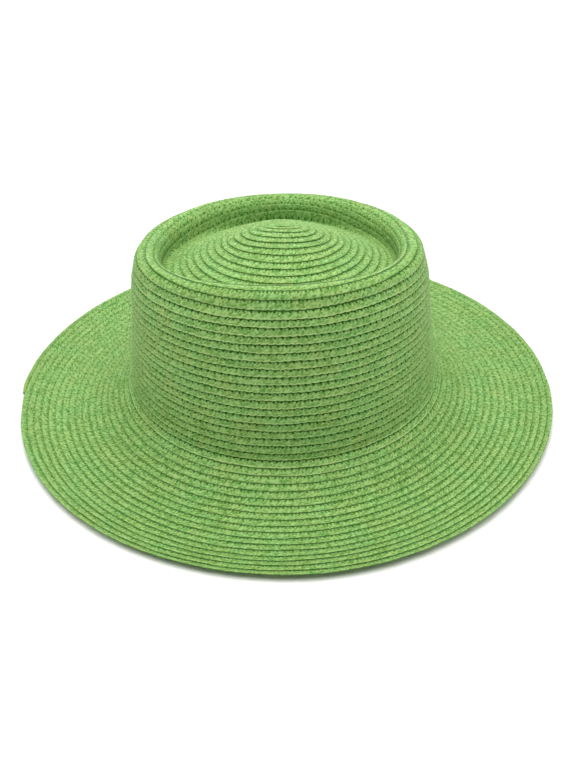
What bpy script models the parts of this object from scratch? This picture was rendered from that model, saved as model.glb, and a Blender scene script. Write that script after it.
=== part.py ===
"""Wide-brimmed straw hat with a telescope crown, as three shells of sewn paper braid.

The hat stands on its brim on the plane z = 0, with its front towards -Y and its crown up.
One profile runs from the middle of the tip, over the rolled rim, down the side and out to
the edge of the brim. Each row of a table below is one oval section of that profile.
"""
import math

import bmesh
import bpy

# Driving sizes in metres
BRIM_ACROSS = 0.3246
BRIM_LENGTH = 0.3534
BRIM_DIP = 0.0027
ROOT_ACROSS = 0.1824
ROOT_LENGTH = 0.1994
ROOT_FORWARD = 0.0048
ROOT_RISE = 0.0190
RIM_ACROSS = 0.1668
RIM_LENGTH = 0.1744
RIM_FORWARD = 0.0063
RIM_RISE = 0.1025
RIM_FALL = 0.0185
RIM_SADDLE = 0.0016
RIM_TAPER = 0.0018
RIM_ROLL = 0.0078
GROOVE_INSET = 0.0078
GROOVE_DEPTH = 0.0150
DOME_HEIGHT = 0.0214
DOME_FORWARD = 0.0030
STRAW_THICKNESS = 0.0020
SEAM_GAP = 0.0003

# How square the rim's oval is: 2 is a plain ellipse
RIM_FULLNESS = 2.09
PLAIN_OVAL = 2.0

# The lowest ring of the brim rests on the ground, and its edge turns up a little
EDGE_HEIGHT = STRAW_THICKNESS + BRIM_DIP
RIM_SLOPE = RIM_FALL / RIM_LENGTH

# Dome of the tip: reach as a share of the groove's half width, height of DOME_HEIGHT
DOME_TABLE = (
    {"reach": 0.08, "height": 0.995},
    {"reach": 0.18, "height": 0.965},
    {"reach": 0.29, "height": 0.873},
    {"reach": 0.42, "height": 0.730},
    {"reach": 0.56, "height": 0.563},
    {"reach": 0.70, "height": 0.389},
    {"reach": 0.85, "height": 0.197},
    {"reach": 1.00, "height": 0.000},
)

# Rolled rim: angle from the crest in degrees, towards the tip and towards the side
ROLL_INNER_ANGLES = (76.0, 56.0, 33.0, 10.0)
ROLL_OUTER_ANGLES = (10.0, 33.0, 58.0, 85.0)

# Side of the crown: drop as a share of the height from the roll to the root,
# flare as a share of the difference between the rim's and the root's half widths
SIDE_TABLE = (
    {"drop": 0.10, "flare": 0.25},
    {"drop": 0.24, "flare": 0.42},
    {"drop": 0.42, "flare": 0.57},
    {"drop": 0.60, "flare": 0.75},
    {"drop": 0.77, "flare": 0.93},
    {"drop": 0.90, "flare": 1.02},
    {"drop": 0.97, "flare": 1.09},
)

# Brim: inward as a share of the brim's width from the edge,
# dip as a share of BRIM_DIP and rise as a share of ROOT_RISE
BRIM_TABLE = (
    {"inward": 0.978, "dip": 0.0, "rise": 0.860},
    {"inward": 0.947, "dip": 0.0, "rise": 0.680},
    {"inward": 0.900, "dip": 0.0, "rise": 0.510},
    {"inward": 0.840, "dip": 0.0, "rise": 0.355},
    {"inward": 0.770, "dip": 0.0, "rise": 0.200},
    {"inward": 0.700, "dip": 0.0, "rise": 0.080},
    {"inward": 0.600, "dip": 0.20, "rise": 0.000},
    {"inward": 0.460, "dip": 0.77, "rise": 0.000},
    {"inward": 0.330, "dip": 1.00, "rise": 0.000},
    {"inward": 0.230, "dip": 1.00, "rise": 0.000},
    {"inward": 0.120, "dip": 0.52, "rise": 0.000},
    {"inward": 0.000, "dip": 0.00, "rise": 0.000},
)

OVAL_SIDES = 60
SMOOTH_ANGLE = math.radians(40.0)

# Linear colour and roughness of the dyed paper straw
TIP_COLOUR = (0.34, 0.63, 0.19, 1.0)
SIDE_COLOUR = (0.24, 0.51, 0.13, 1.0)
BRIM_COLOUR = (0.27, 0.55, 0.15, 1.0)
STRAW_ROUGHNESS = 0.75


class Section:
    """One oval section of the profile, seen from the middle of the hat."""

    def __init__(self, across, length, forward, height):
        """Store the half axes and the place of a level, plain oval."""
        self.across = across
        self.length = length
        self.forward = forward
        self.height = height
        self.slope = 0.0
        self.saddle = 0.0
        self.taper = 0.0
        self.fullness = PLAIN_OVAL

    def between(self, other, share):
        """Return the section at a share of the way to another one."""
        mixed = Section(0.0, 0.0, 0.0, 0.0)
        for name, value in vars(self).items():
            setattr(mixed, name, value * (1.0 - share) + getattr(other, name) * share)
        return mixed

    def distance(self, other):
        """Return the length of the profile from this section to another one."""
        return math.hypot(self.across - other.across, self.height - other.height)

    def points(self):
        """Return the corners of the oval, anticlockwise from above."""
        corners = []
        for side in range(OVAL_SIDES):
            angle = 2.0 * math.pi * (side + 0.5) / OVAL_SIDES
            across = full_curve(math.cos(angle), self.fullness)
            along = full_curve(math.sin(angle), self.fullness)
            x = (self.across - self.taper * along) * across
            y = self.length * along
            z = self.height - self.slope * y - self.saddle * math.cos(2.0 * angle)
            corners.append((x, y - self.forward, z))
        return corners


def full_curve(value, fullness):
    """Push a cosine or sine outwards, which squares the oval's corners a little."""
    return math.copysign(abs(value) ** (PLAIN_OVAL / fullness), value)


def tip_section(inset, drop, forward=RIM_FORWARD):
    """Return a plain section parallel to the rim's crest, moved in from it and below it."""
    crest_across = RIM_ACROSS / 2.0 - RIM_ROLL
    crest_length = RIM_LENGTH / 2.0 - RIM_ROLL
    height = EDGE_HEIGHT + RIM_RISE - drop - RIM_SLOPE * (RIM_FORWARD - forward)
    section = Section(crest_across - inset, crest_length - inset, forward, height)
    section.slope = RIM_SLOPE
    return section


def rim_section(inset, drop):
    """Return a section of the rim itself, which is also tapered, saddled and fuller."""
    section = tip_section(inset, drop)
    section.saddle = RIM_SADDLE
    section.taper = RIM_TAPER
    section.fullness = RIM_FULLNESS
    return section


def dome_sections():
    """Return the sections of the dome, from the middle of the tip to the groove."""
    sections = []
    for row in DOME_TABLE:
        forward = DOME_FORWARD + (RIM_FORWARD - DOME_FORWARD) * row["reach"]
        drop = GROOVE_DEPTH - DOME_HEIGHT * row["height"]
        section = tip_section(GROOVE_INSET, drop, forward)
        section.across *= row["reach"]
        section.length *= row["reach"]
        sections.append(section)
    return sections


def roll_sections(angles, direction):
    """Return the sections of the rolled rim on one side of its crest."""
    sections = []
    for angle in angles:
        turn = math.radians(angle)
        inset = direction * RIM_ROLL * math.sin(turn)
        sections.append(rim_section(inset, RIM_ROLL * (1.0 - math.cos(turn))))
    return sections


def side_sections():
    """Return the sections of the crown's side, from the roll down to its root."""
    top = rim_section(-RIM_ROLL, RIM_ROLL)
    root = Section(ROOT_ACROSS / 2.0, ROOT_LENGTH / 2.0, ROOT_FORWARD, EDGE_HEIGHT + ROOT_RISE)
    sections = []
    for row in SIDE_TABLE:
        section = top.between(root, row["drop"])
        flared = top.between(root, row["flare"])
        section.across = flared.across
        section.length = flared.length
        sections.append(section)
    return sections


def brim_sections():
    """Return the sections of the brim, from its root out to its edge."""
    root = Section(ROOT_ACROSS / 2.0, ROOT_LENGTH / 2.0, ROOT_FORWARD, EDGE_HEIGHT)
    edge = Section(BRIM_ACROSS / 2.0, BRIM_LENGTH / 2.0, 0.0, EDGE_HEIGHT)
    sections = []
    for row in BRIM_TABLE:
        section = edge.between(root, row["inward"])
        section.height += ROOT_RISE * row["rise"] - BRIM_DIP * row["dip"]
        sections.append(section)
    return sections


def part_at_seam(inner, outer):
    """Split the profile halfway between two runs of sections, with SEAM_GAP between them."""
    length = inner[-1].distance(outer[0])
    half_gap = SEAM_GAP / 2.0 / length
    inner_end = inner[-1].between(outer[0], 0.5 - half_gap)
    outer_start = inner[-1].between(outer[0], 0.5 + half_gap)
    return inner + [inner_end], [outer_start] + outer


def straw_material(name, colour):
    """Return a Principled material of dyed paper straw."""
    material = bpy.data.materials.new(name)
    material.use_nodes = True
    shader = material.node_tree.nodes["Principled BSDF"]
    shader.inputs["Base Color"].default_value = colour
    shader.inputs["Roughness"].default_value = STRAW_ROUGHNESS
    shader.inputs["Metallic"].default_value = 0.0
    return material


def straw_shell(name, sections, colour, collection, peak=None):
    """Loft the sections, close the peak if there is one, and give the shell its thickness."""
    shape = bmesh.new()
    rings = []
    for section in sections:
        rings.append([shape.verts.new(corner) for corner in section.points()])
    for inner, outer in zip(rings, rings[1:]):
        for side in range(OVAL_SIDES):
            after = (side + 1) % OVAL_SIDES
            shape.faces.new((inner[side], outer[side], outer[after], inner[after]))
    if peak is not None:
        top = shape.verts.new(peak)
        for side in range(OVAL_SIDES):
            after = (side + 1) % OVAL_SIDES
            shape.faces.new((top, rings[0][side], rings[0][after]))
    mesh = bpy.data.meshes.new(name)
    shape.to_mesh(mesh)
    shape.free()
    mesh.shade_smooth()
    mesh.set_sharp_from_angle(angle=SMOOTH_ANGLE)
    shell = bpy.data.objects.new(name, mesh)
    shell.data.materials.append(straw_material(name + "_straw", colour))
    wall = shell.modifiers.new("straw wall", "SOLIDIFY")
    wall.thickness = STRAW_THICKNESS
    wall.offset = -1.0
    wall.use_even_offset = True
    collection.objects.link(shell)
    return shell


def main():
    """Build the hat from the middle of its tip to the edge of its brim."""
    for thing in list(bpy.data.objects):
        bpy.data.objects.remove(thing)
    collection = bpy.data.collections.new("straw_hat")
    bpy.context.scene.collection.children.link(collection)

    tip = dome_sections() + roll_sections(ROLL_INNER_ANGLES, 1.0)
    side = roll_sections(ROLL_OUTER_ANGLES, -1.0) + side_sections()
    brim = brim_sections()
    tip, side = part_at_seam(tip, side)
    side, brim = part_at_seam(side, brim)

    apex = tip_section(0.0, GROOVE_DEPTH - DOME_HEIGHT, DOME_FORWARD)
    peak = (0.0, -DOME_FORWARD, apex.height)
    straw_shell("crown_tip", tip, TIP_COLOUR, collection, peak)
    straw_shell("crown_side", side, SIDE_COLOUR, collection)
    straw_shell("brim", brim, BRIM_COLOUR, collection)


main()
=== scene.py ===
"""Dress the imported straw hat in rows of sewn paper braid, light it and look at it.

The hat is one long spiral of plaited paper braid, sewn row over row from the middle of the tip
to the edge of the brim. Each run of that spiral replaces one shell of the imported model. All
lengths are in metres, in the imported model's frame: +Z up, the front of the hat towards -Y.
"""
import logging
import math
from dataclasses import dataclass, field, fields, replace

import bpy
import numpy as np
from mathutils import Matrix, Vector


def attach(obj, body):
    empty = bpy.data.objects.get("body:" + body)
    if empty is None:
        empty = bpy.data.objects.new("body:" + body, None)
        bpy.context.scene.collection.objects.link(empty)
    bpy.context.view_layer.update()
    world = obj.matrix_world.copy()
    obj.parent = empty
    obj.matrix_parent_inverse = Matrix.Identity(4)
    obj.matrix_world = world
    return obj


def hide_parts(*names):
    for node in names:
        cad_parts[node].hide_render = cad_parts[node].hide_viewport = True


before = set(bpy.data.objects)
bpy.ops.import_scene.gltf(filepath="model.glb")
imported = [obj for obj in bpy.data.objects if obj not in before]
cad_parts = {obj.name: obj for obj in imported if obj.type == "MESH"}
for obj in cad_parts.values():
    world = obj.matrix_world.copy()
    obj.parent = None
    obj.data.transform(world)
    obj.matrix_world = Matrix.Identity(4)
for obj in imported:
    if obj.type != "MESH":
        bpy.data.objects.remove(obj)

MM = 0.001
FULL_TURN = 2.0 * math.pi
ROOT_BODY = "root"
PLAIN_OVAL = 2.0

# The sRGB standard's curve: a straight line up to a limit, and a power above it
SRGB_LIMIT = 0.04045
SRGB_LINE = 12.92
SRGB_OFFSET = 0.055
SRGB_POWER = 2.4

log = logging.getLogger("straw_hat")


@dataclass(frozen=True)
class Section:
    """One oval section of the hat's form, seen from above."""

    across: float
    length: float
    forward: float
    height: float
    aside: float = 0.0
    slope: float = 0.0
    saddle: float = 0.0
    taper: float = 0.0
    fullness: float = PLAIN_OVAL

    def between(self, other: "Section", share: float) -> "Section":
        """Mix this section with another one.

        Args:
            other: The section at share 1.
            share: How far towards the other section, from 0 to 1.

        Returns:
            The section at that share.
        """
        mixed = {}
        for item in fields(self):
            own = getattr(self, item.name)
            mixed[item.name] = own + (getattr(other, item.name) - own) * share
        return Section(**mixed)


def smooth_read(at: np.ndarray, knots: np.ndarray, values: np.ndarray) -> np.ndarray:
    """Read a smooth curve through a table of values.

    Args:
        at: Where to read it.
        knots: The table's places, rising.
        values: The table's values at those places.

    Returns:
        The curve's values.
    """
    slopes = np.gradient(values, knots)
    low = np.clip(np.searchsorted(knots, at, side="right") - 1, 0, len(knots) - 2)
    span = knots[low + 1] - knots[low]
    t = np.clip((at - knots[low]) / span, 0.0, 1.0)
    ease = t * t * (3.0 - 2.0 * t)
    leave = slopes[low] * span * t * (1.0 - t) ** 2
    arrive = slopes[low + 1] * span * t * t * (t - 1.0)
    return values[low] * (1.0 - ease) + values[low + 1] * ease + leave + arrive


def column(table: tuple, name: str) -> np.ndarray:
    """Return one column of a table whose rows are dictionaries."""
    return np.array([row[name] for row in table])


@dataclass
class HatForm:
    """The blocked form of the hat: the outer surface that the braid rows follow."""

    brim_across: float = 0.3246
    brim_length: float = 0.3534
    brim_dip: float = 0.0027
    edge_height: float = 0.0047
    root_across: float = 0.1824
    root_length: float = 0.1994
    root_forward: float = 0.0048
    root_aside: float = -0.0006
    root_rise: float = 0.0190
    rim_across: float = 0.1668
    rim_length: float = 0.1744
    rim_forward: float = 0.0063
    rim_aside: float = -0.0011
    rim_rise: float = 0.1025
    rim_fall: float = 0.0185
    rim_saddle: float = 0.0016
    rim_taper: float = 0.0018
    rim_roll: float = 0.0078
    rim_fullness: float = 2.09
    groove_inset: float = 0.0100
    groove_depth: float = 0.0156
    groove_ease: float = 0.0010
    dome_height: float = 0.0256
    dome_forward: float = 0.0030
    dome_power: float = 1.14
    dome_flat: float = 0.18
    dome_bend: float = 4.0
    side_table: tuple = (
        {"drop": 0.10, "flare": 0.25},
        {"drop": 0.24, "flare": 0.42},
        {"drop": 0.42, "flare": 0.57},
        {"drop": 0.60, "flare": 0.75},
        {"drop": 0.77, "flare": 0.93},
        {"drop": 0.90, "flare": 1.02},
        {"drop": 0.97, "flare": 1.09},
    )
    brim_table: tuple = (
        {"inward": 0.978, "dip": 0.0, "rise": 0.860},
        {"inward": 0.947, "dip": 0.0, "rise": 0.680},
        {"inward": 0.900, "dip": 0.0, "rise": 0.510},
        {"inward": 0.840, "dip": 0.0, "rise": 0.355},
        {"inward": 0.770, "dip": 0.0, "rise": 0.200},
        {"inward": 0.700, "dip": 0.0, "rise": 0.080},
        {"inward": 0.600, "dip": 0.20, "rise": 0.000},
        {"inward": 0.460, "dip": 0.77, "rise": 0.000},
        {"inward": 0.330, "dip": 1.00, "rise": 0.000},
        {"inward": 0.230, "dip": 1.00, "rise": 0.000},
        {"inward": 0.120, "dip": 0.52, "rise": 0.000},
        {"inward": 0.000, "dip": 0.00, "rise": 0.000},
        {"inward": -0.080, "dip": -0.50, "rise": 0.000},
    )
    reach: np.ndarray = field(init=False)
    table: dict = field(init=False)

    def __post_init__(self) -> None:
        """Lay the sections end to end and measure the profile's length at the sides."""
        dome = self.dome_sections()
        run = dome + self.roll_sections() + self.side_sections() + self.brim_sections()
        self.table = {}
        for item in fields(Section):
            self.table[item.name] = np.array([getattr(section, item.name) for section in run])
        steps = np.hypot(np.diff(self.table["across"]), np.diff(self.table["height"]))
        # The rows are pressed a little closer on the groove's outer wall
        steps[len(dome) - 1] += self.groove_ease
        self.reach = np.concatenate([[0.0], np.cumsum(steps)])

    def tip_section(self, inset: float, drop: float, forward: float) -> Section:
        """Lay a plain oval in from the rim's crest and below it.

        Args:
            inset: How far in from the crest.
            drop: How far below the crest.
            forward: How far the oval's middle lies in front of the hat's.

        Returns:
            The section.
        """
        slope = self.rim_fall / self.rim_length
        return Section(
            across=self.rim_across / 2.0 - self.rim_roll - inset,
            length=self.rim_length / 2.0 - self.rim_roll - inset,
            forward=forward,
            height=self.edge_height + self.rim_rise - drop - slope * (self.rim_forward - forward),
            aside=self.rim_aside,
            slope=slope,
        )

    def rim_section(self, inset: float, drop: float) -> Section:
        """Lay a section of the rim, which is also saddled, tapered and fuller.

        Args:
            inset: How far in from the rim's crest.
            drop: How far below the crest.

        Returns:
            The section.
        """
        return replace(
            self.tip_section(inset, drop, self.rim_forward),
            saddle=self.rim_saddle,
            taper=self.rim_taper,
            fullness=self.rim_fullness,
        )

    def dome_sections(self, count: int = 25) -> list[Section]:
        """Lay the sections of the tip's dome, from its middle to the groove.

        Args:
            count: How many sections.

        Returns:
            The sections.
        """
        bend = self.dome_bend
        sections = []
        for share in np.linspace(0.0, 1.0, count):
            fall = (share ** bend + self.dome_flat ** bend) ** (self.dome_power / bend)
            forward = self.dome_forward + (self.rim_forward - self.dome_forward) * share
            drop = self.groove_depth - self.dome_height * (1.0 - fall)
            oval = self.tip_section(self.groove_inset, drop, forward)
            sections.append(replace(oval, across=oval.across * share, length=oval.length * share))
        return sections

    def roll_sections(self, count: int = 22, inner: float = 76.0, outer: float = -85.0) -> list[Section]:
        """Lay the sections of the rolled rim, from its inner to its outer side.

        Args:
            count: How many sections.
            inner: Angle of the first one from the crest, in degrees towards the tip.
            outer: Angle of the last one.

        Returns:
            The sections.
        """
        sections = []
        for angle in np.linspace(inner, outer, count):
            turn = math.radians(angle)
            drop = self.rim_roll * (1.0 - math.cos(turn))
            sections.append(self.rim_section(self.rim_roll * math.sin(turn), drop))
        return sections

    def side_sections(self) -> list[Section]:
        """Lay the sections of the crown's side.

        Returns:
            The sections, from the roll to the root.
        """
        top = self.rim_section(-self.rim_roll, self.rim_roll)
        root = replace(self.root_section(), height=self.edge_height + self.root_rise)
        sections = []
        for row in self.side_table:
            flared = top.between(root, row["flare"])
            section = top.between(root, row["drop"])
            sections.append(replace(section, across=flared.across, length=flared.length))
        return sections

    def root_section(self) -> Section:
        """Return the oval where the crown meets the brim, at the height of the brim's edge."""
        return Section(self.root_across / 2.0, self.root_length / 2.0, self.root_forward,
                       self.edge_height, self.root_aside)

    def brim_sections(self) -> list[Section]:
        """Lay the sections of the brim.

        Returns:
            The sections, from the root to just past the brim's edge.
        """
        edge = Section(self.brim_across / 2.0, self.brim_length / 2.0, 0.0, self.edge_height)
        sections = []
        for row in self.brim_table:
            section = edge.between(self.root_section(), row["inward"])
            height = section.height + self.root_rise * row["rise"] - self.brim_dip * row["dip"]
            sections.append(replace(section, height=height))
        return sections

    def points(self, turn: np.ndarray, reach: np.ndarray) -> np.ndarray:
        """Find points of the outer surface.

        Args:
            turn: Angle round the hat in radians, anticlockwise from +X.
            reach: Length along the profile from the middle of the tip.

        Returns:
            The points, with x, y and z in the last axis.
        """
        read = {name: smooth_read(reach, self.reach, values) for name, values in self.table.items()}
        power = PLAIN_OVAL / read["fullness"]
        cosine = np.sign(np.cos(turn)) * np.abs(np.cos(turn)) ** power
        sine = np.sign(np.sin(turn)) * np.abs(np.sin(turn)) ** power
        x = (read["across"] - read["taper"] * sine) * cosine
        y = read["length"] * sine
        z = read["height"] - read["slope"] * y - read["saddle"] * np.cos(2.0 * turn)
        return np.stack([x + read["aside"], y - read["forward"], z], axis=-1)

    def outward(self, turn: np.ndarray, reach: np.ndarray, step: float = 0.2 * MM) -> np.ndarray:
        """Find which way the outer surface faces.

        Args:
            turn: Angle round the hat in radians, anticlockwise from +X.
            reach: Length along the profile from the middle of the tip.
            step: Length over which the surface's slopes are measured.

        Returns:
            The unit normals, with x, y and z in the last axis.
        """
        radius = np.maximum(smooth_read(reach, self.reach, self.table["across"]), step)
        swing = step / radius
        along = self.points(turn + swing, reach) - self.points(turn - swing, reach)
        out = self.points(turn, reach + step) - self.points(turn, np.maximum(reach - step, 0.0))
        normal = np.cross(out, along)
        return normal / np.linalg.norm(normal, axis=-1, keepdims=True)


@dataclass
class BraidSpiral:
    """The path of the braid: how far each turn of the sewn spiral has come."""

    form: HatForm
    end_angle: float = 182.0
    end_reach: float = 0.2602
    start_reach: float = 0.0020
    wave_start: float = 0.248
    wave_full: float = 0.258
    grain: float = 0.02 * MM
    fine_steps: int = 360
    pitch_table: tuple = (
        {"reach": 0.000, "pitch": 4.75},
        {"reach": 0.020, "pitch": 4.80},
        {"reach": 0.050, "pitch": 4.90},
        {"reach": 0.056, "pitch": 5.15},
        {"reach": 0.061, "pitch": 5.50},
        {"reach": 0.069, "pitch": 5.50},
        {"reach": 0.0715, "pitch": 4.30},
        {"reach": 0.079, "pitch": 4.15},
        {"reach": 0.080, "pitch": 4.90},
        {"reach": 0.088, "pitch": 4.90},
        {"reach": 0.092, "pitch": 5.75},
        {"reach": 0.105, "pitch": 5.40},
        {"reach": 0.109, "pitch": 4.24},
        {"reach": 0.112, "pitch": 4.20},
        {"reach": 0.115, "pitch": 5.10},
        {"reach": 0.118, "pitch": 4.20},
        {"reach": 0.140, "pitch": 4.12},
        {"reach": 0.173, "pitch": 4.10},
        {"reach": 0.177, "pitch": 4.10},
        {"reach": 0.184, "pitch": 4.26},
        {"reach": 0.253, "pitch": 4.26},
        {"reach": 0.257, "pitch": 3.80},
        {"reach": 0.258, "pitch": 2.60},
        {"reach": 0.265, "pitch": 2.60},
    )
    oval_table: tuple = (
        {"reach": 0.0000, "stretch": 0.00, "forward": 0.0, "aside": 1.1},
        {"reach": 0.0050, "stretch": -1.80, "forward": 0.0, "aside": 1.1},
        {"reach": 0.0075, "stretch": -2.40, "forward": 0.0, "aside": 1.1},
        {"reach": 0.0170, "stretch": -2.40, "forward": 0.0, "aside": 1.1},
        {"reach": 0.0267, "stretch": -2.10, "forward": 0.0, "aside": 1.1},
        {"reach": 0.0316, "stretch": -1.50, "forward": 0.0, "aside": 1.1},
        {"reach": 0.0364, "stretch": -0.50, "forward": 0.0, "aside": 1.1},
        {"reach": 0.0411, "stretch": -0.05, "forward": 0.0, "aside": 1.1},
        {"reach": 0.0462, "stretch": 0.40, "forward": 0.0, "aside": 1.1},
        {"reach": 0.0510, "stretch": 1.05, "forward": 0.0, "aside": 1.1},
        {"reach": 0.0560, "stretch": 1.55, "forward": 0.0, "aside": 1.2},
        {"reach": 0.0613, "stretch": 2.30, "forward": 0.0, "aside": 1.4},
        {"reach": 0.0671, "stretch": 3.40, "forward": 0.0, "aside": 1.6},
        {"reach": 0.0730, "stretch": 4.25, "forward": 0.0, "aside": 1.3},
        {"reach": 0.0780, "stretch": 3.80, "forward": 0.2, "aside": 0.4},
        {"reach": 0.0830, "stretch": 3.50, "forward": 0.5, "aside": 0.0},
        {"reach": 0.0910, "stretch": 4.00, "forward": 0.7, "aside": 0.0},
        {"reach": 0.0960, "stretch": 3.85, "forward": 0.8, "aside": 0.0},
        {"reach": 0.1020, "stretch": 3.50, "forward": 0.7, "aside": 0.0},
        {"reach": 0.1070, "stretch": 2.90, "forward": 0.2, "aside": 0.0},
        {"reach": 0.1120, "stretch": 2.45, "forward": 0.0, "aside": 0.0},
        {"reach": 0.1300, "stretch": 1.70, "forward": 0.0, "aside": 0.0},
        {"reach": 0.1620, "stretch": 0.45, "forward": 0.0, "aside": 0.0},
        {"reach": 0.1700, "stretch": 0.00, "forward": 0.0, "aside": 0.0},
        {"reach": 0.2650, "stretch": 0.00, "forward": 0.0, "aside": 0.0},
    )
    wave_table: tuple = (
        {"angle": 40.0, "out": -0.60},
        {"angle": 90.0, "out": -0.20},
        {"angle": 130.0, "out": 0.30},
        {"angle": 182.0, "out": 0.00},
        {"angle": 215.0, "out": -0.20},
        {"angle": 245.0, "out": -0.50},
        {"angle": 260.0, "out": 0.00},
        {"angle": 270.0, "out": 0.80},
        {"angle": 285.0, "out": 1.60},
        {"angle": 300.0, "out": 1.15},
        {"angle": 315.0, "out": 0.45},
        {"angle": 330.0, "out": 0.10},
        {"angle": 350.0, "out": -0.30},
    )
    reaches: np.ndarray = field(init=False)
    turns: np.ndarray = field(init=False)
    last_turn: float = field(init=False)

    def __post_init__(self) -> None:
        """Count the turns up to each length along the profile."""
        self.reaches = np.arange(0.0, self.end_reach + self.grain, self.grain)
        pitches = column(self.pitch_table, "pitch") * MM
        rate = 1.0 / np.interp(self.reaches, column(self.pitch_table, "reach"), pitches)
        steps = 0.5 * (rate[1:] + rate[:-1]) * self.grain
        self.turns = np.concatenate([[0.0], np.cumsum(steps)])
        self.last_turn = float(np.interp(self.end_reach, self.reaches, self.turns))

    def turn_at(self, reach: float) -> float:
        """Return the turn at which the braid's free edge has come to a reach."""
        return float(np.interp(reach, self.reaches, self.turns))

    def reach_at(self, turn: np.ndarray) -> np.ndarray:
        """Return the reach of the braid's free edge at each turn."""
        return np.interp(turn, self.turns, self.reaches)

    def angle_at(self, turn: np.ndarray) -> np.ndarray:
        """Return the angle round the hat, in radians, at each turn."""
        return math.radians(self.end_angle) + (turn - self.last_turn) * FULL_TURN

    def lay(self, angle: np.ndarray, reach: np.ndarray) -> tuple[np.ndarray, np.ndarray]:
        """Lay the rows on the form as ovals, and let the brim's edge wave in and out.

        The ovals are long from side to side in the tip, and from front to back at the rim. Their
        middles lie a little towards +X in the tip, and a little to the front at the rim.

        Args:
            angle: The spiral's angle in radians.
            reach: The row's mean reach.

        Returns:
            The angle round the hat and the reach there.
        """
        places = column(self.oval_table, "reach")
        stretch = smooth_read(reach, places, column(self.oval_table, "stretch") * MM)
        aside = np.interp(reach, places, column(self.oval_table, "aside") * MM)
        forward = np.interp(reach, places, column(self.oval_table, "forward") * MM)
        across = (reach - stretch) * np.cos(angle) + aside
        along = (reach + stretch) * np.sin(angle) - forward
        laid = np.arctan2(along, across)
        angles = column(self.wave_table, "angle")
        out = column(self.wave_table, "out") * MM
        wave = np.interp(np.degrees(laid), angles, out, period=math.degrees(FULL_TURN))
        share = np.clip((reach - self.wave_start) / (self.wave_full - self.wave_start), 0.0, 1.0)
        return laid, np.hypot(along, across) + wave * share

    def even_turns(self, first: float, last: float, step: float, most: float) -> np.ndarray:
        """Space cuts along a run of the spiral.

        Args:
            first: The turn at which the run starts.
            last: The turn at which it ends.
            step: Length of braid between two cuts.
            most: Most turns between two cuts, for the tight rows of the tip.

        Returns:
            The turns at which the braid is cut into segments.
        """
        fine = np.linspace(first, last, int((last - first) * self.fine_steps) + 2)
        edge = self.form.points(*self.lay(self.angle_at(fine), self.reach_at(fine)))
        lengths = np.linalg.norm(np.diff(edge, axis=0), axis=1)
        cuts = np.maximum(lengths / step, np.diff(fine) / most)
        count = np.concatenate([[0.0], np.cumsum(cuts)])
        return np.interp(np.linspace(0.0, count[-1], int(count[-1]) + 2), count, fine)


def linear_colour(code: str, alpha: float = 1.0) -> tuple:
    """Turn an sRGB hex colour into a linear one.

    Args:
        code: The colour as #RRGGBB.
        alpha: The fourth value.

    Returns:
        Linear red, green, blue and alpha.
    """
    linear = []
    for start in (1, 3, 5):
        value = int(code[start:start + 2], 16) / 255.0
        curved = ((value + SRGB_OFFSET) / (1.0 + SRGB_OFFSET)) ** SRGB_POWER
        linear.append(value / SRGB_LINE if value <= SRGB_LIMIT else curved)
    return (*linear, alpha)


def add_node(tree: bpy.types.NodeTree, kind: str, settings: dict | None = None,
             links: dict | None = None) -> bpy.types.Node:
    """Add a node to a material.

    Args:
        tree: The material's node tree.
        kind: The node's type, without ShaderNode in front.
        settings: Values of the node's own settings, or of its inputs by name or number.
        links: Sockets that feed the node's inputs, by name or number.

    Returns:
        The node.
    """
    node = tree.nodes.new("ShaderNode" + kind)
    for name, value in (settings or {}).items():
        if isinstance(name, int) or name in node.inputs:
            node.inputs[name].default_value = value
        else:
            setattr(node, name, value)
    for name, socket in (links or {}).items():
        tree.links.new(socket, node.inputs[name])
    return node


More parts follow.
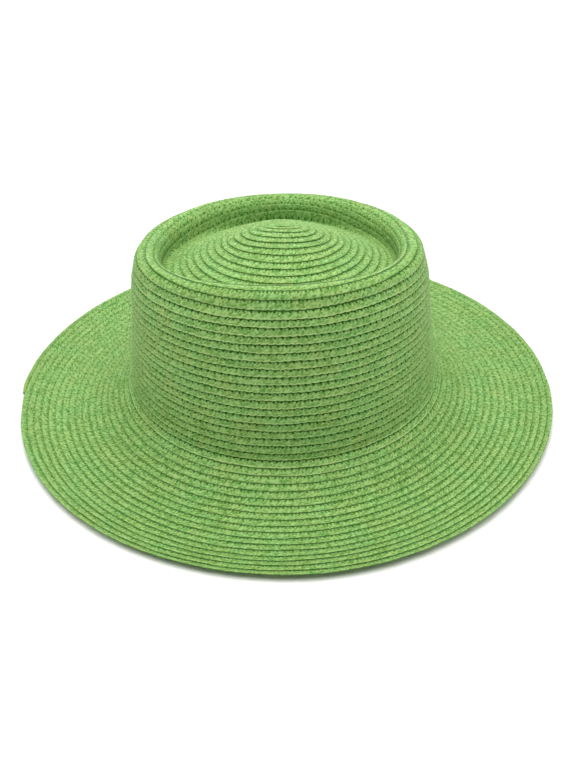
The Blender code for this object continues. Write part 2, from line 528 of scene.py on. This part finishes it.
@dataclass(frozen=True)
class PaperBraidFinish:
    """Dyed twisted-paper straw, plaited into a flat braid and sewn row over row.

    Twisted paper is matt with a faint satin haze, and each strand takes the dye a little
    differently, so the rows look grainy. Shade is painted into the colour where a row runs out
    from under its neighbour, in the small pits at the stitches, between the strands there and
    under each free edge, and a highlight is painted along the folded free edge of each row.
    """

    name: str
    pale: str = "#B1CF8A"
    deep: str = "#407A24"
    # The colour of the painted shade in the tucks, pits, gaps and under the free edges
    shade: str = "#1A5C02"
    warm: str = "#FFFCEC"
    cool: str = "#F4FFF4"
    faded: str = "#A9BC5E"
    paper: str = "#6A6247"
    roughness: float = 0.6
    ior: float = 1.5
    specular: float = 0.08
    sheen: float = 0.02
    sheen_roughness: float = 0.5
    relief_mm: float = 0.12
    stitch_mm: float = 4.1
    strands_a_stitch: float = 2.0
    row_mm: float = 4.1
    strand_slant: float = 1.5
    grains_a_strand: float = 2.0
    grains_a_row: float = 4.5
    # Real fibres are about 0.2 mm wide, too fine to show, so they are drawn coarser
    fibre_mm: float = 0.55
    fibre_detail: float = 2.0
    fibre_share: float = 0.62
    # Painted highlight along each row's free edge, stronger where the row is tucked deep
    highlight_start: float = 0.76
    highlight_full: float = 0.90
    highlight_gain: float = 0.75
    highlight_loss: float = 0.25
    tone_low: float = 0.22
    tone_high: float = 0.86
    patch_mm: float = 14.0
    patch_detail: float = 2.0
    patch_low: float = 0.35
    patch_high: float = 0.65
    fade_full: float = 0.6
    fade_share: float = 0.5
    cut_start: float = 0.88
    cut_full: float = 0.97
    gap_start: float = 0.05
    gap_end: float = 0.17
    # A needle's pit is about 0.5 mm wide; its painted shade is drawn wider so that it shows
    pit_mm: float = 0.84
    pit_shade_least: float = 0.75
    pit_shade_more: float = 0.25
    slit_start: float = 0.08
    slit_end: float = 0.20
    slit_shade_depth: float = 0.5
    slit_reach: float = 0.46
    under_start: float = 0.97
    under_end: float = 0.99
    under_gain: float = 5.0

    def material(self) -> bpy.types.Material:
        """Make the braid's material.

        Returns:
            The material, which reads the strip's own stitch, across, tuck and tail numbers.
        """
        made = bpy.data.materials.new(self.name)
        made.use_nodes = True
        tree = made.node_tree
        shader = tree.nodes["Principled BSDF"]
        shader.inputs["Roughness"].default_value = self.roughness
        shader.inputs["IOR"].default_value = self.ior
        shader.inputs["Specular IOR Level"].default_value = self.specular
        shader.inputs["Sheen Weight"].default_value = self.sheen
        shader.inputs["Sheen Roughness"].default_value = self.sheen_roughness
        across = add_node(tree, "Attribute", {"attribute_name": "across"}).outputs["Fac"]
        stitch = add_node(tree, "Attribute", {"attribute_name": "stitch"}).outputs["Fac"]
        place = add_node(tree, "TexCoord").outputs["Object"]
        strand = add_node(tree, "Math", {"operation": "MULTIPLY", 1: self.strands_a_stitch},
                          {0: stitch}).outputs[0]
        tuck = add_node(tree, "Attribute", {"attribute_name": "tuck"}).outputs["Fac"]
        tone = self.fibre_tone(tree, across, strand, place, tuck)
        fibre = add_node(tree, "Mix", {"data_type": "RGBA", 6: linear_colour(self.deep),
                                       7: linear_colour(self.pale)}, {0: tone}).outputs[2]
        dyed = add_node(tree, "Mix", {"data_type": "RGBA", "blend_type": "MULTIPLY", 0: 1.0},
                        {6: fibre, 7: self.dye_patches(tree, place)}).outputs[2]
        # Painted shade, mixed towards the shade colour in the tucks, pits, gaps and under the edges
        dark = self.painted_shade(tree, across, stitch, strand, tuck)
        shaded = add_node(tree, "Mix", {"data_type": "RGBA", 7: linear_colour(self.shade)},
                          {0: dark, 6: self.bare_tail(tree, dyed)}).outputs[2]
        tree.links.new(shaded, shader.inputs["Base Color"])
        bump = add_node(tree, "Bump", {"Strength": 1.0, "Distance": self.relief_mm * MM},
                        {"Height": tone}).outputs[0]
        tree.links.new(bump, shader.inputs["Normal"])
        return made

    def fibre_tone(self, tree: bpy.types.NodeTree, across: bpy.types.NodeSocket,
                   strand: bpy.types.NodeSocket, place: bpy.types.NodeSocket,
                   tuck: bpy.types.NodeSocket) -> bpy.types.NodeSocket:
        """Mix the grain of single strands and twisted fibres, and paint a highlight on each free edge.

        Args:
            tree: The material's node tree.
            across: Share of the row's width, from its tucked to its free edge.
            strand: Count of strands along the braid.
            place: Position in metres.
            tuck: How deep the row is tucked in, and so how strong its painted edge highlight is.

        Returns:
            The tone, from 0 for deep to 1 for pale.
        """
        slanted = add_node(tree, "Math", {"operation": "MULTIPLY_ADD", 1: self.strand_slant},
                           {0: across, 2: strand}).outputs[0]
        split = add_node(tree, "Math", {"operation": "MULTIPLY", 1: self.grains_a_strand},
                         {0: slanted}).outputs[0]
        along = add_node(tree, "Math", {"operation": "FLOOR"}, {0: split}).outputs[0]
        lane = add_node(tree, "Math", {"operation": "MULTIPLY", 1: self.grains_a_row},
                        {0: across}).outputs[0]
        line = add_node(tree, "Math", {"operation": "FLOOR"}, {0: lane}).outputs[0]
        cell = add_node(tree, "CombineXYZ", {}, {0: along, 1: line}).outputs[0]
        grain = add_node(tree, "TexWhiteNoise", {"noise_dimensions": "2D"},
                         {"Vector": cell}).outputs["Value"]
        fibre = add_node(tree, "TexNoise", {"Scale": 1.0 / (self.fibre_mm * MM),
                                            "Detail": self.fibre_detail},
                         {"Vector": place}).outputs["Fac"]
        mixed = add_node(tree, "Mix", {0: self.fibre_share}, {2: grain, 3: fibre}).outputs[0]
        # Painted highlight: the tone is raised towards pale along each row's free edge
        highlight_strength = add_node(tree, "Math", {"operation": "MULTIPLY_ADD", "use_clamp": True,
                                        1: self.highlight_gain, 2: -self.highlight_loss},
                         {0: tuck}).outputs[0]
        edge = add_node(tree, "MapRange", {"From Min": self.highlight_start, "From Max": self.highlight_full},
                        {"Value": across, "To Max": highlight_strength}).outputs[0]
        with_highlight = add_node(tree, "Math", {"operation": "ADD"}, {0: mixed, 1: edge}).outputs[0]
        return add_node(tree, "MapRange", {"From Min": self.tone_low, "From Max": self.tone_high},
                        {"Value": with_highlight}).outputs[0]

    def bare_tail(self, tree: bpy.types.NodeTree, dyed: bpy.types.NodeSocket) -> bpy.types.NodeSocket:
        """Show less dye on the braid's tail, and bare brown paper where it was cut.

        Args:
            tree: The material's node tree.
            dyed: The dyed colour.

        Returns:
            The colour with the tail's own.
        """
        tail = add_node(tree, "Attribute", {"attribute_name": "tail"}).outputs["Fac"]
        faded = add_node(tree, "MapRange", {"From Max": self.fade_full, "To Max": self.fade_share},
                         {"Value": tail}).outputs[0]
        thin = add_node(tree, "Mix", {"data_type": "RGBA", 7: linear_colour(self.faded)},
                        {0: faded, 6: dyed}).outputs[2]
        cut = add_node(tree, "MapRange", {"From Min": self.cut_start, "From Max": self.cut_full},
                       {"Value": tail}).outputs[0]
        return add_node(tree, "Mix", {"data_type": "RGBA", 7: linear_colour(self.paper)},
                        {0: cut, 6: thin}).outputs[2]

    def dye_patches(self, tree: bpy.types.NodeTree, place: bpy.types.NodeSocket) -> bpy.types.NodeSocket:
        """Let the tint drift between a warmer and a cooler green over the hat.

        Args:
            tree: The material's node tree.
            place: Position in metres.

        Returns:
            The tint, which multiplies the dye.
        """
        drift = add_node(tree, "TexNoise", {"Scale": 1.0 / (self.patch_mm * MM),
                                            "Detail": self.patch_detail},
                         {"Vector": place}).outputs["Fac"]
        share = add_node(tree, "MapRange", {"From Min": self.patch_low, "From Max": self.patch_high},
                         {"Value": drift}).outputs[0]
        return add_node(tree, "Mix", {"data_type": "RGBA", 6: linear_colour(self.warm),
                                      7: linear_colour(self.cool)}, {0: share}).outputs[2]

    def painted_shade(self, tree: bpy.types.NodeTree, across: bpy.types.NodeSocket,
                 stitch: bpy.types.NodeSocket, strand: bpy.types.NodeSocket,
                 tuck: bpy.types.NodeSocket) -> bpy.types.NodeSocket:
        """Paint shade on the tuck, the stitches' pits, the strands' gaps and the face under the free
        edge.

        Args:
            tree: The material's node tree.
            across: Share of the row's width, from its tucked to its free edge.
            stitch: Count of stitches along the braid.
            strand: Count of strands along the braid.
            tuck: How deep the row is tucked in there, which sets the painted shade's strength.

        Returns:
            The painted shade's strength, from 0 to 1.
        """
        # Painted shade in the groove where the row runs out from under its neighbour
        groove = add_node(tree, "MapRange", {"interpolation_type": "SMOOTHSTEP", "To Max": 0.0,
                                             "From Min": self.gap_start, "From Max": self.gap_end},
                          {"Value": across, "To Min": tuck}).outputs[0]
        # Painted shade in the stitches' pits
        beside = add_node(tree, "Math", {"operation": "PINGPONG", 1: 0.5}, {0: stitch}).outputs[0]
        beside_mm = add_node(tree, "Math", {"operation": "MULTIPLY", 1: self.stitch_mm},
                             {0: beside}).outputs[0]
        down_mm = add_node(tree, "Math", {"operation": "MULTIPLY_ADD", 1: self.row_mm,
                                          2: -self.gap_end * self.row_mm},
                           {0: across}).outputs[0]
        spot = add_node(tree, "CombineXYZ", {}, {0: beside_mm, 1: down_mm}).outputs[0]
        apart = add_node(tree, "VectorMath", {"operation": "LENGTH"}, {0: spot}).outputs["Value"]
        pit_shade = add_node(tree, "MapRange", {"interpolation_type": "SMOOTHSTEP", "To Max": 0.0,
                                          "From Min": self.pit_mm / 2.0, "From Max": self.pit_mm},
                       {"Value": apart, "To Min": self.pit_shade_strength(tree, tuck)}).outputs[0]
        # Painted shade in the gaps between the strands near the tuck
        beat = add_node(tree, "Math", {"operation": "PINGPONG", 1: 0.5}, {0: strand}).outputs[0]
        narrow = add_node(tree, "MapRange", {"From Min": self.slit_start, "From Max": self.slit_end,
                                             "To Min": self.slit_shade_depth, "To Max": 0.0},
                          {"Value": beat}).outputs[0]
        below = add_node(tree, "Math", {"operation": "MULTIPLY", "use_clamp": True, 1: self.under_gain},
                         {0: tuck}).outputs[0]
        fade = add_node(tree, "MapRange", {"From Min": self.gap_end, "From Max": self.slit_reach,
                                           "To Max": 0.0},
                        {"Value": across, "To Min": below}).outputs[0]
        slit_shade = add_node(tree, "Math", {"operation": "MULTIPLY"}, {0: narrow, 1: fade}).outputs[0]
        # Painted shade on the face under the free edge
        under = add_node(tree, "MapRange", {"From Min": self.under_start, "From Max": self.under_end},
                         {"Value": across, "To Max": below}).outputs[0]
        darkest = under
        for mark in (groove, pit_shade, slit_shade):
            darkest = add_node(tree, "Math", {"operation": "MAXIMUM"}, {0: darkest, 1: mark}).outputs[0]
        return darkest

    def pit_shade_strength(self, tree: bpy.types.NodeTree, tuck: bpy.types.NodeSocket) -> bpy.types.NodeSocket:
        """Return how dark the painted shade in the stitches' pits is: less where the rows lie flat."""
        return add_node(tree, "Math", {"operation": "MULTIPLY_ADD", 1: self.pit_shade_more, 2: self.pit_shade_least},
                        {0: tuck}).outputs[0]


@dataclass(frozen=True)
class Run:
    """One named run of the braid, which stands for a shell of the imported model."""

    name: str
    stands_for: str
    end_reach: float


@dataclass
class SewnBraid:
    """The whole braid, as one closed strip that overlaps itself row by row.

    The strip is cut four times a stitch. Every fourth cut is a stitch, which pulls the row's
    free edge in and down, and every second cut is the crown of a strand. A row is deep where it
    is tucked under the last one, and its relief is low where the block pressed the rows flat. At
    the brim's edge the braid draws in to its cut tail.
    """

    spiral: BraidSpiral
    finish: PaperBraidFinish
    stitch: float = 4.1 * MM
    cuts_a_stitch: int = 4
    cuts_a_strand: int = 2
    most_turn: float = 1.0 / 60.0
    strand_relief: float = 0.08 * MM
    stitch_pull: float = 0.07
    stitch_sink: float = 0.22 * MM
    edge_wander: float = 0.03
    lift_wander: float = 0.06 * MM
    wander_cuts: int = 9
    seed: int = 7
    tail_cuts: int = 14
    tail_pull: float = 0.45
    least_reach: float = 0.3 * MM
    sharp_angle: float = math.radians(80.0)
    row_table: tuple = (
        {"across": -0.34, "height": -1.06, "groove": 0.00, "free": 0.0, "weave": 0.0},
        {"across": 0.02, "height": -0.82, "groove": 0.22, "free": 0.0, "weave": 0.0},
        {"across": 0.10, "height": -0.72, "groove": 0.28, "free": 0.0, "weave": 0.5},
        {"across": 0.20, "height": -0.60, "groove": 0.06, "free": 0.1, "weave": 1.0},
        {"across": 0.38, "height": -0.40, "groove": 0.00, "free": 0.2, "weave": 1.0},
        {"across": 0.60, "height": -0.17, "groove": 0.00, "free": 0.5, "weave": -1.0},
        {"across": 0.80, "height": -0.04, "groove": 0.00, "free": 0.8, "weave": -1.0},
        {"across": 0.94, "height": -0.06, "groove": 0.00, "free": 1.0, "weave": 0.0},
        {"across": 1.00, "height": -0.34, "groove": 0.00, "free": 1.0, "weave": 0.0},
        {"across": 0.93, "height": -0.70, "groove": 0.00, "free": 0.9, "weave": 0.0},
        {"across": 0.45, "height": -1.15, "groove": 0.00, "free": 0.0, "weave": 0.0},
        {"across": -0.34, "height": -1.72, "groove": 0.00, "free": 0.0, "weave": 0.0},
    )
    # tuck sets how deep each row's groove lies and how strong its painted shade and highlight are
    tuck_table: tuple = (
        {"reach": 0.000, "tuck": 0.00, "relief": 0.50},
        {"reach": 0.010, "tuck": 0.10, "relief": 0.60},
        {"reach": 0.020, "tuck": 0.22, "relief": 0.90},
        {"reach": 0.066, "tuck": 0.22, "relief": 1.00},
        {"reach": 0.072, "tuck": 0.02, "relief": 0.50},
        {"reach": 0.086, "tuck": 0.02, "relief": 0.50},
        {"reach": 0.094, "tuck": 0.50, "relief": 0.80},
        {"reach": 0.106, "tuck": 0.90, "relief": 1.00},
        {"reach": 0.180, "tuck": 1.00, "relief": 1.00},
        {"reach": 0.192, "tuck": 0.22, "relief": 0.90},
        {"reach": 0.260, "tuck": 0.20, "relief": 0.85},
    )
    turns: np.ndarray = field(init=False)
    tucks: np.ndarray = field(init=False)
    tails: np.ndarray = field(init=False)
    places: np.ndarray = field(init=False)

    def __post_init__(self) -> None:
        """Work out every corner point of the strip."""
        spiral = self.spiral
        start = spiral.turn_at(spiral.start_reach)
        step = self.stitch / self.cuts_a_stitch
        self.turns = spiral.even_turns(start, spiral.last_turn, step, self.most_turn)
        own_edge = spiral.reach_at(self.turns)
        last_edge = spiral.reach_at(np.maximum(self.turns - 1.0, 0.0))
        number = np.arange(len(self.turns))
        sewn = (number % self.cuts_a_stitch == 0).astype(float)
        strand = np.where(number % self.cuts_a_strand == 0, -1.0, 1.0)
        tail = np.clip(1.0 - (number[-1] - number) / self.tail_cuts, 0.0, 1.0)
        random = np.random.default_rng(self.seed)
        pull = sewn * self.stitch_pull + self.wander(random, self.edge_wander)
        pull = pull + self.tail_pull * tail ** 2
        sink = sewn * self.stitch_sink + self.wander(random, self.lift_wander)
        levels = column(self.tuck_table, "reach")
        self.tucks = np.interp(last_edge, levels, column(self.tuck_table, "tuck"))[:, None]
        self.tails = tail[:, None]
        relief = np.interp(last_edge, levels, column(self.tuck_table, "relief"))[:, None]
        free = column(self.row_table, "free")
        across = column(self.row_table, "across") - free * pull[:, None]
        depth = column(self.row_table, "height") - column(self.row_table, "groove") * self.tucks
        weave = column(self.row_table, "weave") * strand[:, None] * self.strand_relief
        height = (depth * MM - free * sink[:, None] + weave) * relief
        reach = last_edge[:, None] + across * (own_edge - last_edge)[:, None]
        reach = np.maximum(reach, self.least_reach)
        angle, reach = spiral.lay(spiral.angle_at(self.turns)[:, None], reach)
        form = spiral.form
        self.places = form.points(angle, reach) + form.outward(angle, reach) * height[..., None]

    def wander(self, random: np.random.Generator, size: float) -> np.ndarray:
        """Draw a slow random drift along the whole braid, as a hand-guided seam has.

        Args:
            random: The source of random numbers.
            size: The drift's usual size.

        Returns:
            The drift at each cut.
        """
        count = len(self.turns)
        knots = random.normal(0.0, size, count // self.wander_cuts + 2)
        return np.interp(np.arange(count) / self.wander_cuts, np.arange(len(knots)), knots)

    def build(self, runs: tuple[Run, ...]) -> list[bpy.types.Object]:
        """Make each run's mesh, dress it and hand it to the frame.

        Args:
            runs: The runs in order, from the middle of the tip.

        Returns:
            The new objects.
        """
        straw = self.finish.material()
        pieces = []
        first = 0
        for run in runs:
            last = int(np.searchsorted(self.turns, self.spiral.turn_at(run.end_reach)))
            last = min(last, len(self.turns) - 1)
            piece = self.strip(run.name, first, last)
            piece.data.materials.append(straw)
            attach(piece, ROOT_BODY)
            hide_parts(run.stands_for)
            pieces.append(piece)
            first = last
        return pieces

    def strip(self, name: str, first: int, last: int) -> bpy.types.Object:
        """Join a run of cuts into one closed mesh.

        Args:
            name: The new object's name.
            first: Number of the run's first cut.
            last: Number of its last cut.

        Returns:
            The new object, linked to the scene.
        """
        places = self.places[first:last + 1]
        cuts, ring = places.shape[:2]
        number = np.arange(cuts * ring).reshape(cuts, ring)
        after = np.roll(number, -1, axis=1)
        quads = np.stack([number[:-1], after[:-1], after[1:], number[1:]], axis=-1).reshape(-1, 4)
        faces = quads.tolist() + [number[0, ::-1].tolist(), number[-1].tolist()]
        mesh = bpy.data.meshes.new(name)
        mesh.from_pydata(places.reshape(-1, 3).tolist(), [], faces)
        mesh.shade_smooth()
        mesh.set_sharp_from_angle(angle=self.sharp_angle)
        stitches = np.arange(first, last + 1)[:, None] / self.cuts_a_stitch
        self.write(mesh, "stitch", np.broadcast_to(stitches, (cuts, ring)))
        self.write(mesh, "across", np.broadcast_to(column(self.row_table, "across"), (cuts, ring)))
        self.write(mesh, "tuck", np.broadcast_to(self.tucks[first:last + 1], (cuts, ring)))
        self.write(mesh, "tail", np.broadcast_to(self.tails[first:last + 1], (cuts, ring)))
        piece = bpy.data.objects.new(name, mesh)
        bpy.context.scene.collection.objects.link(piece)
        return piece

    def write(self, mesh: bpy.types.Mesh, name: str, values: np.ndarray) -> None:
        """Store a number at each corner point, for the material to read.

        Args:
            mesh: The mesh.
            name: The name that the material reads.
            values: The numbers, cut by cut.
        """
        layer = mesh.attributes.new(name, "FLOAT", "POINT")
        layer.data.foreach_set("value", np.ascontiguousarray(values, dtype=np.float32).ravel())


@dataclass(frozen=True)
class BackdropPaperFinish:
    """Smooth uncoated backdrop paper: pale and matt, so the floor shows only soft shadows."""

    name: str = "matt_backdrop_paper"
    colour: str = "#F4F4F2"
    roughness: float = 0.9

    def material(self) -> bpy.types.Material:
        """Make the floor's material.

        Returns:
            The material.
        """
        made = bpy.data.materials.new(self.name)
        made.use_nodes = True
        shader = made.node_tree.nodes["Principled BSDF"]
        shader.inputs["Base Color"].default_value = linear_colour(self.colour)
        shader.inputs["Roughness"].default_value = self.roughness
        return made


@dataclass
class Studio:
    """A plain pale floor under soft studio light."""

    floor_size: float = 12.0
    room_colour: str = "#FFFFFF"
    room_light: float = 0.22
    softboxes: tuple = (
        {"name": "top_softbox", "place": (0.0, -0.22, 1.15), "size": 1.1, "power": 16.6},
        {"name": "back_softbox", "place": (0.0, 1.25, 0.8), "size": 1.0, "power": 10.0},
        {"name": "left_softbox", "place": (-1.4, 0.0, 0.8), "size": 0.8, "power": 5.3},
        {"name": "right_softbox", "place": (1.4, 0.1, 0.6), "size": 0.8, "power": 6.0},
    )

    def build(self) -> None:
        """Lay the floor and hang the lights."""
        bpy.ops.mesh.primitive_plane_add(size=self.floor_size)
        floor = bpy.context.object
        floor.name = "studio_floor"
        floor.data.materials.append(BackdropPaperFinish().material())
        world = bpy.context.scene.world or bpy.data.worlds.new("studio")
        bpy.context.scene.world = world
        world.use_nodes = True
        background = world.node_tree.nodes["Background"]
        background.inputs["Color"].default_value = linear_colour(self.room_colour)
        background.inputs["Strength"].default_value = self.room_light
        for softbox in self.softboxes:
            self.hang(**softbox)

    def hang(self, name: str, place: tuple, size: float, power: float) -> None:
        """Hang one square soft light that faces the hat.

        Args:
            name: The light's name.
            place: Where it hangs.
            size: Length of its side.
            power: Its power in watts.
        """
        light = bpy.data.lights.new(name, "AREA")
        light.size = size
        light.energy = power
        lamp = bpy.data.objects.new(name, light)
        lamp.location = place
        lamp.rotation_mode = "QUATERNION"
        lamp.rotation_quaternion = Vector(place).to_track_quat("Z", "Y")
        bpy.context.scene.collection.objects.link(lamp)


@dataclass
class PhotoCamera:
    """The camera at the photograph's viewing angle, with its angles in degrees."""

    azimuth: float = 0.94
    back: float = 0.6057
    height: float = 0.3867
    pan: float = 0.16
    down: float = 32.32
    roll: float = 1.57
    focal_pixels: float = 1144.8
    long_side_pixels: float = 768.0
    sensor: float = 36.0
    near_clip: float = 0.01

    def build(self) -> None:
        """Set up the camera and make it the scene's own."""
        data = bpy.data.cameras.new("photo_camera")
        data.sensor_width = self.sensor
        data.lens = self.focal_pixels / self.long_side_pixels * self.sensor
        data.clip_start = self.near_clip
        camera = bpy.data.objects.new("photo_camera", data)
        turned = Matrix.Rotation(math.radians(self.azimuth), 4, "Z")
        place = Matrix.Translation((0.0, -self.back, self.height))
        pan = Matrix.Rotation(math.radians(-self.pan), 4, "Z")
        tilt = Matrix.Rotation(math.radians(90.0 - self.down), 4, "X")
        roll = Matrix.Rotation(math.radians(-self.roll), 4, "Z")
        camera.matrix_world = turned @ place @ pan @ tilt @ roll
        bpy.context.scene.collection.objects.link(camera)
        bpy.context.scene.camera = camera


def main() -> None:
    """Build the hat's braid run by run, then the studio and the camera."""
    logging.basicConfig(level=logging.INFO, format="%(message)s")
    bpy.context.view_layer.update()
    bpy.context.scene.view_settings.view_transform = "Standard"
    spiral = BraidSpiral(HatForm())
    runs = (
        Run("tip_braid", "crown_tip", end_reach=0.0905),
        Run("upper_side_braid", "crown_side", end_reach=0.1360),
        Run("lower_side_braid", "crown_side", end_reach=0.1784),
        Run("inner_brim_braid", "brim", end_reach=0.2090),
        Run("middle_brim_braid", "brim", end_reach=0.2370),
        Run("outer_brim_braid", "brim", end_reach=spiral.end_reach),
    )
    braid = SewnBraid(spiral, PaperBraidFinish("dyed_paper_braid"))
    for piece in braid.build(runs):
        mesh = piece.data
        log.info("%s: %d corner points, %d faces", piece.name, len(mesh.vertices), len(mesh.polygons))
    Studio().build()
    PhotoCamera().build()


if __name__ == "__main__":
    main()
